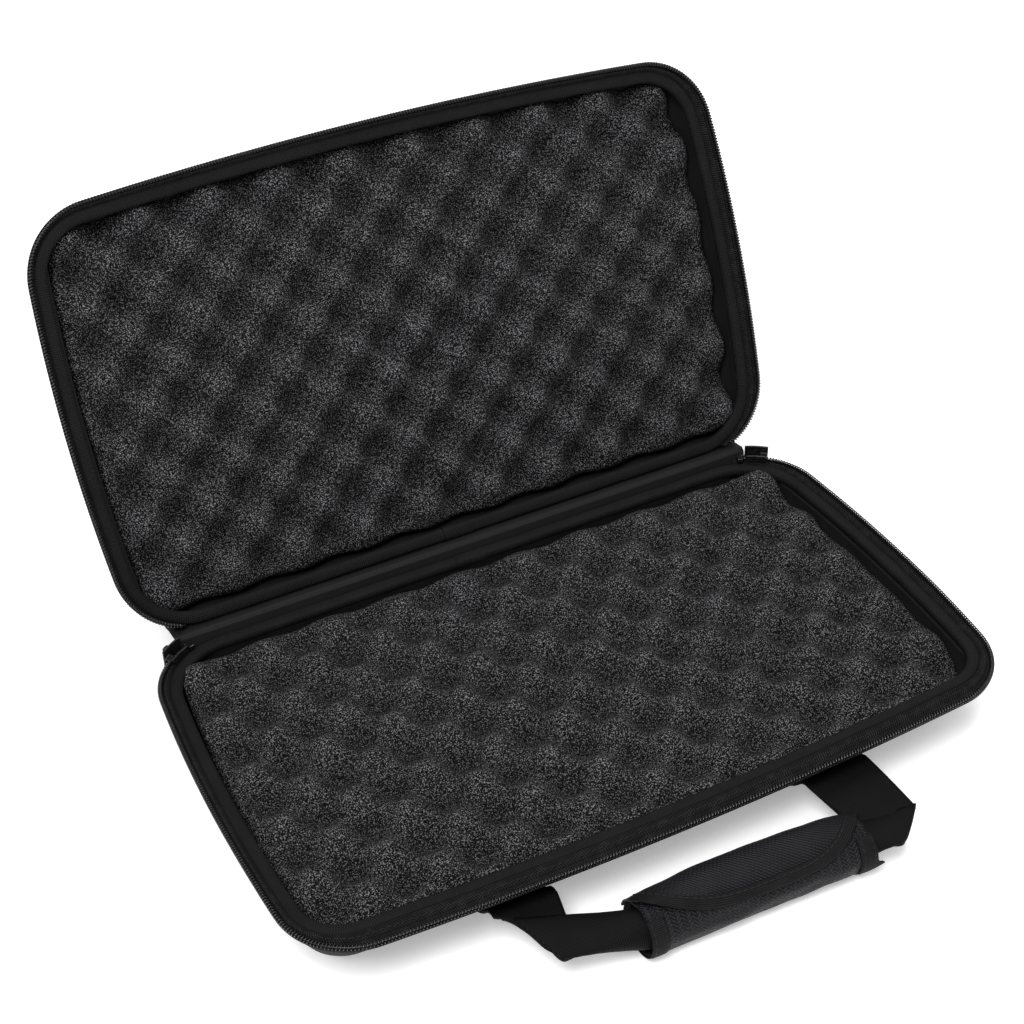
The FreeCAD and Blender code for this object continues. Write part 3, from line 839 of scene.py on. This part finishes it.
def foam(half, seed):
    edge = outline(*FOAM_INSETS[half], FOAM_CORNER, FOAM_CORNER, EDGE_DENSITY) + (LIP_SHIFT[half], 0)
    find = edge_finder(edge)
    flat = foam_grid(find, edge)
    pit = flat.verts.layers.float.new("pit")
    for vert in flat.verts:
        x, y = vert.co.x, vert.co.y
        depth, draw, away = foam_shape(find, x, y)
        soft = max(0.0, 1 - max(0.0, away - draw) / EDGE_SOFT_WIDTH) ** 2
        lump = noise.noise(Vector((x / LUMP_LENGTH, y / LUMP_LENGTH, seed))) * LUMP
        rise = FOAM_RISE[half] * smooth_step((y / HALF_DEPTH - RISE_START) / RISE_LENGTH)
        # painted shade: the pit layer takes the crate's depth, plus a share on the rounded rim, to darken the
        # colour
        vert[pit] = min(1.0, depth + soft * RIM_SHADE)
        vert.co.z = foam_high.z - TOP_GAP - CRATE_DEPTH * depth - EDGE_SOFT * soft + lump + rise
    border = [e for e in flat.edges if e.is_boundary]
    for drop in RIM_DROPS:
        border, verts = extend_rim(flat, pit, border)
        bmesh.ops.translate(flat, verts=list(verts), vec=(0, 0, -drop))
    border, verts = extend_rim(flat, pit, border)
    for vert in verts:
        vert.co = (vert.co.x * FOOT_SHRINK, vert.co.y * FOOT_SHRINK, foam_low.z + FOOT_RISE)
    bmesh.ops.contextual_create(flat, geom=border)
    if half == "lid":
        bmesh.ops.transform(flat, matrix=lid_matrix(), verts=flat.verts)
    mesh = bpy.data.meshes.new(f"{half}_egg_crate")
    flat.to_mesh(mesh)
    flat.free()
    join_frame(finish_mesh(mesh, FOAM), half, "egg_crate_foam", f"{half}_foam")


NOISE_SEEDS = {"base": 1.7, "lid": 8.3}
for half, seed in NOISE_SEEDS.items():
    shell(half)
    lip(half, seed)
    zip_tape(half)
    tape_stitches(half)
    zip_coil(half)
    foam(half, seed)


# Spine cloth

SPINE_HALF = 174.8 * MM
SPINE_THICK = 0.9 * MM
SPINE_COLUMNS = 85
SPINE_STEP = 0.8 * MM
VALLEY_DEPTH = 0.9 * MM
PLEAT = 0.25 * MM
PLEAT_SIZE = (20.0 * MM, 10.0 * MM)
PLEAT_SEED = 3.0
# (y, z) of the cloth in millimetres, up the back wall to the fold
SPINE_PROFILE = (
    (113.9, 22.0), (114.5, 27.0), (115.0, 31.5), (115.9, 35.5), (116.8, 39.0), (117.2, 41.0), (117.6, 41.5)
)


def spine():
    """One cloth from wall to wall, with a small valley between two ridges at the fold."""
    xs = np.linspace(-SPINE_HALF, SPINE_HALF, SPINE_COLUMNS)
    rows = []
    for y, z in resample(np.array(SPINE_PROFILE) * MM, SPINE_STEP):
        places = [Vector((x / PLEAT_SIZE[0], z / PLEAT_SIZE[1], PLEAT_SEED)) for x in xs]
        pleat = np.array([noise.noise(place) for place in places]) * PLEAT
        rows.append(at_height(np.c_[xs, y + pleat], z))
    base = np.array(rows)
    lid = on_half(base[::-1], "lid")
    valley = at_height(np.c_[xs, np.full(SPINE_COLUMNS, HINGE.y)], HINGE.z - VALLEY_DEPTH)[None]
    middle = np.vstack([base, valley, lid])
    piece = build("spine_cloth", [skin(middle, SPINE_THICK)], SHELL)
    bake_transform(piece)
    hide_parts("spine_base_leaf", "spine_fold", "spine_lid_leaf")


def skin(middle, thick, along=None):
    """Cloth of this thickness round a grid of middle points, closed at every edge."""
    normal = unit(np.cross(np.gradient(middle, axis=1), np.gradient(middle, axis=0)))
    return closed_skin(middle + normal * thick / 2, middle - normal * thick / 2, along)


def closed_skin(outer, inner, along=None):
    """A sheet with two faces, given as grids, joined along its rows' ends and its columns' ends."""
    middle = (outer + inner) / 2
    outer = np.hstack([middle[:, :1], outer, middle[:, -1:]])
    inner = np.hstack([middle[:, :1], inner, middle[:, -1:]])
    if along is not None:
        along = np.hstack([along[:, :1], along, along[:, -1:]])
        along = np.vstack([along, along[::-1]])
    return sheet(np.vstack([outer, inner[::-1]]), close_v=True, along=along)


# Handle webbing

WEB_THICK = 1.5 * MM
WEB_POINTS = 19
FOLD_RADIUS = 1.0 * MM
CURL_RADIUS = 9.2 * MM
CURL_ANGLES = (165.0, -50.0)
LEG_STEPS = 16  # rows from the wall to the folded corner, round the fold, and on to the grip
FOLD_STEPS = 6
RUN_STEPS = 24
GRIP_STEPS = 14
LEG_BOW = 1.2 * MM
LEG_BOW_MIDDLE = 0.4
SEEN_SHARE = 0.66  # the part of the folded corner's width before the webbing curls under
TURN_ROUNDS = 2  # rounds of smoothing over the corner's turn
SEWN_ROWS = 5
SEAM_INSET = 2  # columns of the webbing between its edge and the stitching
SEAM_LIFT = (0.0, -0.8, 0.6)
THREAD_PROUD = 0.1 * MM
# (y, z) of the webbing in millimetres, up the front wall and out under the zip
WALL_PROFILE = (
    (-90.6, 8.2), (-95.0, 11.5), (-98.6, 15.0), (-101.2, 18.2), (-103.2, 20.6), (-106.0, 22.2), (-109.5, 22.6)
)

# Each leg's outer and inner edge at the wall, in millimetres
LEG_EDGES = {1: (103.5, 66.5), -1: (105.0, 72.5)}
# Its folded corner in millimetres: the outer end, the turn and the hidden tail
LEG_FOLDS = {
    1: ((105.0, -144.0, 21.8), (86.5, -160.0, 19.5), (77.0, -150.0, 14.5)),
    -1: ((97.5, -114.5, 21.8), (87.5, -143.0, 18.5), (77.0, -139.0, 14.0)),
}
LEG_ENTRIES = {1: 70.0 * MM, -1: -45.0 * MM}  # where it enters the grip

GRIP_START = -46.0 * MM
GRIP_END = 73.0 * MM
GRIP_RADIUS = 13.0 * MM
grip_low, grip_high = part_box("grip_cover")
GRIP_Y = (grip_low.y + grip_high.y) / 2
GRIP_Z = (grip_low.z + grip_high.z) / 2
GRIP_SKEW = 4.0 * MM  # the right end lies this much further forward than the left
SKEW_PIVOT = 0.25  # the skew leaves this share of the grip in place


def grip_point(x, angle, radius):
    """Place round the grip's middle line: angle 0 is forward and 90 is up."""
    turn = np.radians(angle)
    share = (x - GRIP_START) / (GRIP_END - GRIP_START)
    y = GRIP_Y + GRIP_SKEW * (SKEW_PIVOT - share) - radius * np.cos(turn)
    z = GRIP_Z + radius * np.sin(turn)
    return np.stack(np.broadcast_arrays(x, y, z), axis=-1)


def folded_corner(side):
    """Points across the webbing along its folded corner, from the outer end to the hidden tail."""
    t = np.linspace(0, 1, WEB_POINTS)
    corners = np.array(LEG_FOLDS[side]) * MM * (side, 1, 1)
    line = np.stack([np.interp(t, (0, SEEN_SHARE, 1), corners[:, axis]) for axis in range(3)], axis=-1)
    for _ in range(TURN_ROUNDS):
        line[1:-1] = (line[:-2] + 2 * line[1:-1] + line[2:]) / 4
    return line


def curled(x):
    """Points across the webbing where it lies rolled up inside the grip."""
    return grip_point(x, np.linspace(*CURL_ANGLES, WEB_POINTS), CURL_RADIUS)


def bow(x):
    """How far the bowed front has fallen back, this far from its middle."""
    return FRONT_RADIUS - np.sqrt(FRONT_RADIUS**2 - x**2)


def leg(side):
    """Rows across the webbing from the wall, over the folded corner and up to the grip."""
    t = np.linspace(0, 1, WEB_POINTS)
    outer, inner = LEG_EDGES[side]
    x = (outer + (inner - outer) * t) * MM * side
    wall_bow = bow(x) - bow(x.mean())
    rows = [np.c_[x, y * MM + wall_bow, np.full(WEB_POINTS, z * MM)] for y, z in WALL_PROFILE]
    corner = folded_corner(side)
    root = rows[-1]
    for share in np.linspace(0, 1, LEG_STEPS + 1)[1:-1]:
        row = root + (corner - root) * share
        row[:, 2] += LEG_BOW * math.sin(math.pi * share) * (1 - 2 * np.abs(t - LEG_BOW_MIDDLE))
        rows.append(row)
    seen = corner[int(WEB_POINTS * SEEN_SHARE)] - corner[0]
    out = unit(np.array([-seen[1], seen[0], 0]) * -side)
    for turn in np.linspace(-math.pi / 2, math.pi / 2, FOLD_STEPS + 1):
        rise = FOLD_RADIUS * (1 + math.sin(turn))
        rows.append(corner + out * FOLD_RADIUS * math.cos(turn) + (0, 0, rise))
    top = rows[-1]
    entry = curled(LEG_ENTRIES[side])
    for share in np.linspace(0, 1, RUN_STEPS + 1)[1:]:
        rows.append(top + (entry - top) * (share + smooth_step(share)) / 2)
    return rows


def strap():
    """One length of webbing from wall to wall."""
    right = leg(1)
    left = leg(-1)
    inside = [curled(x) for x in np.linspace(LEG_ENTRIES[1], LEG_ENTRIES[-1], GRIP_STEPS)[1:-1]]
    middle = np.array(right + inside + left[::-1]).transpose(1, 0, 2)
    leg_rows = len(WALL_PROFILE) + LEG_STEPS - 1 + FOLD_STEPS // 2
    column = np.arange(middle.shape[1])
    on_leg = (column < leg_rows) | (column >= len(column) - leg_rows)
    along = np.where(on_leg, middle[:, :, 1], middle[:, :, 0])
    piece = build("handle_webbing", [skin(middle, WEB_THICK, along)], WEBBING)
    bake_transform(piece)
    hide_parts("handle_strap", "handle_anchor_left", "handle_anchor_right")
    threads = []
    for rows in (right, left):
        wall = np.array(rows[:SEWN_ROWS]) + (0, -WEB_THICK / 2, THREAD_PROUD)
        inner = wall[:, SEAM_INSET:-SEAM_INSET]
        for seam in (inner[:, 0], inner[:, -1], inner[0], inner[-2]):
            threads += stitches(seam, SEAM_LIFT)
    add("handle_anchor_stitches", threads, THREAD, "base", "webbing")


# Grip

# Angles round the grip are in degrees
FLAP_LOW = 33.0
FLAP_TIP = 118.0
FLAP_ROOT = 170.0
FLAP_FOLD = 148.0  # an angle on the flap, between its root and its edge; the point taken there is not used
COVER_ANGLES = (-212.0, 138.0)
PAD_ANGLES = (-208.0, 134.0)
STRIP_ANGLES = (70.0, 112.0)
CUFF_ANGLES = (-205.0, 62.0)
CUFF_SEAM_ANGLES = (-160.0, 60.0)
FLAP_START = -47.5 * MM
FLAP_END = 75.0 * MM
FLAP_MIDDLE = 20.0 * MM
FLAP_POWER = 3.3
FLAP_THICK = 1.0 * MM
FLAP_GAP = 0.95 * MM
FLAP_WRINKLE = 0.5 * MM
TIP_LIFT = 0.4 * MM  # the flap's left tip rises by this, from this share of the way to the left end
TIP_START = 0.7
GRIP_GRID = (70, 80)
PAD_ROWS = 40
BULGE = 3.3 * MM
BULGE_POWER = 2.5
BULGE_ANGLE = 145.0
BULGE_SPREAD = 50.0
WRINKLE_SIZE = (16.0 * MM, 26.0)  # along the grip, and in degrees round it
SLEEVE_THICK = 0.9 * MM
SLEEVE_WRINKLE = 0.7 * MM
SLEEVE_SEED = 2.0
FLAP_SEED = 6.0
FRAY_SEED = 5.0
PAD_DEPTH = 3.0 * MM
PAD_THICK = 2.0 * MM
PAD_SHORT = 2  # columns that the padding is shorter than the sleeve, at each end
STRIP_SHORT = 16.0 * MM
STRIP_GRID = (30, 14)
STRIP_THICK = 0.25 * MM
LOOP_LIFT = 0.35 * MM
HOOK_LIFT = FLAP_GAP - 0.3 * MM
FLAP_GRID = (90, 26)
CUFF_WIDTH = 8.0 * MM
CUFF_PAST = 1.0 * MM  # how far it reaches past the sleeve's end
CUFF_GRID = (9, 60)
CUFF_LIFT = 0.05 * MM
CUFF_THICK = 0.6 * MM
CUFF_PUFF = 0.5 * MM
CUFF_SEAMS = (0.18, 0.82)  # shares of its width
CUFF_SEAM_LIFT = 1.0 * MM
FRAY = 5.0 * MM  # the right binding's worn tab: its length, then its angle, spread and raggedness
FRAY_ANGLE = -20.0
FRAY_SPREAD = 13.0
FRAY_GRAIN = 4.0
EDGE_POINTS = 200
EDGE_SPACING = 1.6 * MM
EDGE_SIDES = 14
EDGE_REACH = 2.7 * MM  # the edge tape's middle lies this far in from the flap's edge
EDGE_HALF = (3.2 * MM, 1.25 * MM)
EDGE_SQUARE = (0.7, 0.8)
EDGE_TAPER = 4  # points over which its ends narrow
EDGE_TIP = 0.02
EDGE_SEAM = (4.8 * MM, 1.1 * MM)


def grip_share(x):
    """Share along the grip, from -1 at the left end to 1 at the right."""
    return 2 * (x - GRIP_START) / (GRIP_END - GRIP_START) - 1


def cover_radius(x, angle):
    """The sleeve is fatter towards the top of its back, most of all half way along."""
    hump = 1 - np.clip(np.abs(grip_share(x)), 0, 1) ** BULGE_POWER
    return GRIP_RADIUS + BULGE * hump * np.exp(-(((angle - BULGE_ANGLE) / BULGE_SPREAD) ** 2))


def grip_skin(xs, low, high, lift, thick, rows, wrinkle=0.0, seed=0.0):
    """Curved cloth round the grip between two angles, which may differ along it."""
    angle = low + (high - low) * np.linspace(0, 1, rows)[:, None] + 0 * xs
    x = np.broadcast_to(xs, angle.shape)
    radius = cover_radius(x, angle) + lift
    if wrinkle:
        places = zip(x.ravel() / WRINKLE_SIZE[0], angle.ravel() / WRINKLE_SIZE[1])
        puff = np.array([noise.noise(Vector((a, b, seed))) for a, b in places])
        radius = radius + wrinkle * puff.reshape(angle.shape)
    return closed_skin(grip_point(x, angle, radius + thick), grip_point(x, angle, radius))


def flap_columns(count):
    """Places along the flap, closer together towards its tips."""
    return FLAP_START + (FLAP_END - FLAP_START) * (1 - np.cos(np.linspace(0, math.pi, count))) / 2


def flap_edge(xs):
    """Angle of the flap's curved front edge along the grip."""
    reach = np.where(xs < FLAP_MIDDLE, FLAP_MIDDLE - FLAP_START, FLAP_END - FLAP_MIDDLE)
    share = np.clip(np.abs(xs - FLAP_MIDDLE) / reach, 0, 1)
    return FLAP_LOW + (FLAP_TIP - FLAP_LOW) * share**FLAP_POWER


def flap_lift(xs):
    """The left tip stands a little off the sleeve."""
    return FLAP_GAP + TIP_LIFT * smooth_step((-grip_share(xs) - TIP_START) / (1 - TIP_START))


def end_binding(side, end, along, fray):
    """Tape round one end of the sleeve, with a ragged tab where it has worn through."""
    start, end = sorted((end - along * CUFF_PAST, end + along * CUFF_WIDTH))
    low, high = CUFF_ANGLES
    angle = low + (high - low) * np.linspace(0, 1, CUFF_GRID[1])[:, None]
    share = np.linspace(0, 1, CUFF_GRID[0]) + 0 * angle
    ragged = np.array([noise.noise(Vector((a / FRAY_GRAIN, 0, FRAY_SEED))) for a in angle[:, 0]])
    tab = np.exp(-(((angle - FRAY_ANGLE) / FRAY_SPREAD) ** 2)) * (1 + 0.5 * ragged[:, None])
    x = start + (end - start) * share + fray * tab * share
    radius = cover_radius(x, angle) + CUFF_LIFT
    outer = radius + CUFF_THICK + CUFF_PUFF * np.sin(math.pi * share)
    band = closed_skin(grip_point(x, angle, outer), grip_point(x, angle, radius))
    add(f"grip_edge_{side}", [band], BINDING, "handle", "binding_tape", f"grip_binding_{side}")
    turn = np.linspace(*CUFF_SEAM_ANGLES, CUFF_GRID[1])
    threads = []
    for at in CUFF_SEAMS:
        place = start + (end - start) * at
        row = grip_point(place, turn, cover_radius(place, turn) + CUFF_SEAM_LIFT)
        threads += stitches(row, lift=(0, -0.7, 0.5))
    add(f"grip_edge_{side}_stitches", threads, THREAD, "handle", "binding_tape")


def flap_binding():
    """Tape folded over the flap's curved edge."""
    xs = flap_columns(EDGE_POINTS)
    angle = flap_edge(xs)
    edge = grip_point(xs, angle, cover_radius(xs, angle) + flap_lift(xs) + FLAP_THICK / 2)
    path = resample(edge, EDGE_SPACING)
    turn = np.interp(path[:, 0], xs, np.radians(angle))
    out = np.stack([np.zeros(len(turn)), -np.cos(turn), np.sin(turn)], axis=-1)
    inward = np.cross(out, unit(np.gradient(path, axis=0)))
    inward *= np.sign(inward[len(turn) // 2] @ (0, 1, 1))
    from_end = np.minimum(np.arange(len(path)), np.arange(len(path))[::-1])
    taper = np.sqrt(np.clip(from_end / EDGE_TAPER, EDGE_TIP, 1))[:, None]
    rows = []
    for spin in TAU * np.arange(EDGE_SIDES) / EDGE_SIDES:
        reach = EDGE_REACH + EDGE_HALF[0] * power(math.cos(spin), EDGE_SQUARE[0]) * taper
        rise = EDGE_HALF[1] * power(math.sin(spin), EDGE_SQUARE[1]) * taper
        rows.append(path + inward * reach + out * rise)
    add("flap_edge_tape", [sheet(rows, close_v=True)], BINDING, "flap", "binding_tape", "grip_flap_binding")
    row = path + inward * EDGE_SEAM[0] + out * EDGE_SEAM[1]
    add("flap_stitches", stitches(row, lift=(0, -0.6, 0.8)), THREAD, "flap", "binding_tape")


def sleeve():
    columns, rows = GRIP_GRID
    xs = np.linspace(GRIP_START, GRIP_END, columns)
    pad = grip_skin(xs[PAD_SHORT:-PAD_SHORT], *PAD_ANGLES, -PAD_DEPTH, PAD_THICK, PAD_ROWS)
    add("grip_padding", [pad], FUZZ, "handle", "grip_foam", "grip_pad")
    cover = grip_skin(xs, *COVER_ANGLES, -SLEEVE_THICK, SLEEVE_THICK, rows, SLEEVE_WRINKLE, SLEEVE_SEED)
    add("grip_sleeve", [cover], SLEEVE_NYLON, "handle", "ballistic_nylon", "grip_cover")


def flap():
    """The flap's cloth, which stays sewn to the sleeve along its root."""
    columns, rows = FLAP_GRID
    xs = flap_columns(columns)
    cloth = grip_skin(xs, flap_edge(xs), FLAP_ROOT, flap_lift(xs), FLAP_THICK, rows, FLAP_WRINKLE, FLAP_SEED)
    piece = build("grip_flap_cloth", [cloth], FLAP_NYLON)
    start, end = (Vector(grip_point(0.0, angle, GRIP_RADIUS)) for angle in (FLAP_ROOT, FLAP_FOLD))
    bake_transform(piece)
    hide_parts("grip_flap")


def strip(name, body, node, lift):
    """One half of the hook-and-loop closing."""
    columns, rows = STRIP_GRID
    xs = np.linspace(GRIP_START + STRIP_SHORT, GRIP_END - STRIP_SHORT, columns)
    pile = grip_skin(xs, *STRIP_ANGLES, lift, STRIP_THICK, rows)
    add(name, [pile], FUZZ, body, "hook_and_loop", node)


def grip():
    sleeve()
    end_binding("left", GRIP_START, 1, 0)
    end_binding("right", GRIP_END, -1, FRAY)
    strip("grip_loop_pile", "handle", "grip_loop_strip", LOOP_LIFT)
    flap()
    strip("grip_hook_pile", "flap", "grip_hook_strip", HOOK_LIFT)
    flap_binding()


spine()
strap()
grip()

# Metal pieces

CAST_VOXEL = 0.22 * MM

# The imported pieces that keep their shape: material, and rounds of smoothing that take sharp edges off
KEPT = {
    "zip_end_stops": (COIL, 8),
    "slider_left": (METAL, 30),
    "slider_right": (METAL, 30),
    "puller_left": (METAL, 8),
    "puller_right": (METAL, 8),
}
for node, (material, rounds) in KEPT.items():
    piece = frame["nodes"][node]
    piece.data.materials.clear()
    piece.data.materials.append(material)
    cast = piece.modifiers.new("cast_skin", "REMESH")
    cast.mode = "VOXEL"
    cast.voxel_size = CAST_VOXEL
    cast.use_smooth_shade = True
    soft = piece.modifiers.new("rounded_edges", "SMOOTH")
    soft.factor = 0.5
    soft.iterations = rounds


# Floor, light and camera

FLOOR_SIZE = 40.0
FLOOR_DROP = 0.6 * MM
FLOOR_GLOW = 0.3
SKY_STRENGTH = 0.6
LAMP_AIM = Vector((0, 100 * MM, 50 * MM))
# Each square lamp's place, side and watts
LAMPS = {"key": ((-0.7, -0.7, 1.6), 0.7, 30), "top": ((0.5, 0.5, 1.8), 0.9, 16)}


def floor():
    bpy.ops.mesh.primitive_plane_add(size=FLOOR_SIZE, location=(0, 0, -FLOOR_DROP))
    plane = bpy.context.object
    plane.name = "floor"
    s = Shader("floor")
    s.fill(s.surface, Base_Color=s.blend(grey(0.88), grey(0.92), s.grain(0.4)), Roughness=0.9)
    s.fill(s.surface, Emission_Color=grey(1.0), Emission_Strength=FLOOR_GLOW)
    plane.data.materials.append(s.material)


def softbox(name, place, side, watts):
    lamp = bpy.data.lights.new(name, "AREA")
    lamp.size = side
    lamp.energy = watts
    light = bpy.data.objects.new(name, lamp)
    light.location = place
    light.rotation_mode = "QUATERNION"
    light.rotation_quaternion = (LAMP_AIM - Vector(place)).to_track_quat("-Z", "Y")
    bpy.context.scene.collection.objects.link(light)


def studio():
    world = bpy.data.worlds.new("studio")
    world.use_nodes = True
    sky = world.node_tree.nodes["Background"]
    sky.inputs["Color"].default_value = (1, 1, 1, 1)
    sky.inputs["Strength"].default_value = SKY_STRENGTH
    bpy.context.scene.world = world
    for name, lamp in LAMPS.items():
        softbox(name, *lamp)
    bpy.context.scene.view_settings.view_transform = "Standard"


VIEW_AZIMUTH = math.radians(26.7)
VIEW_ELEVATION = math.radians(38.26)
VIEW_ROLL = math.radians(-1.2)
VIEW_DISTANCE = 1.0536
VIEW_AIM = Vector((28.5 * MM, 129.4 * MM, 42.0 * MM))
VIEW_LENS = 65.9


def camera():
    flat = math.cos(VIEW_ELEVATION)
    look = Vector((math.sin(VIEW_AZIMUTH) * flat, math.cos(VIEW_AZIMUTH) * flat, -math.sin(VIEW_ELEVATION)))
    eye = bpy.data.objects.new("camera", bpy.data.cameras.new("camera"))
    eye.data.lens = VIEW_LENS
    eye.location = VIEW_AIM - look * VIEW_DISTANCE
    eye.rotation_mode = "QUATERNION"
    eye.rotation_quaternion = look.to_track_quat("-Z", "Y") @ Quaternion((0, 0, 1), VIEW_ROLL)
    bpy.context.scene.collection.objects.link(eye)
    bpy.context.scene.camera = eye


floor()
studio()
camera()
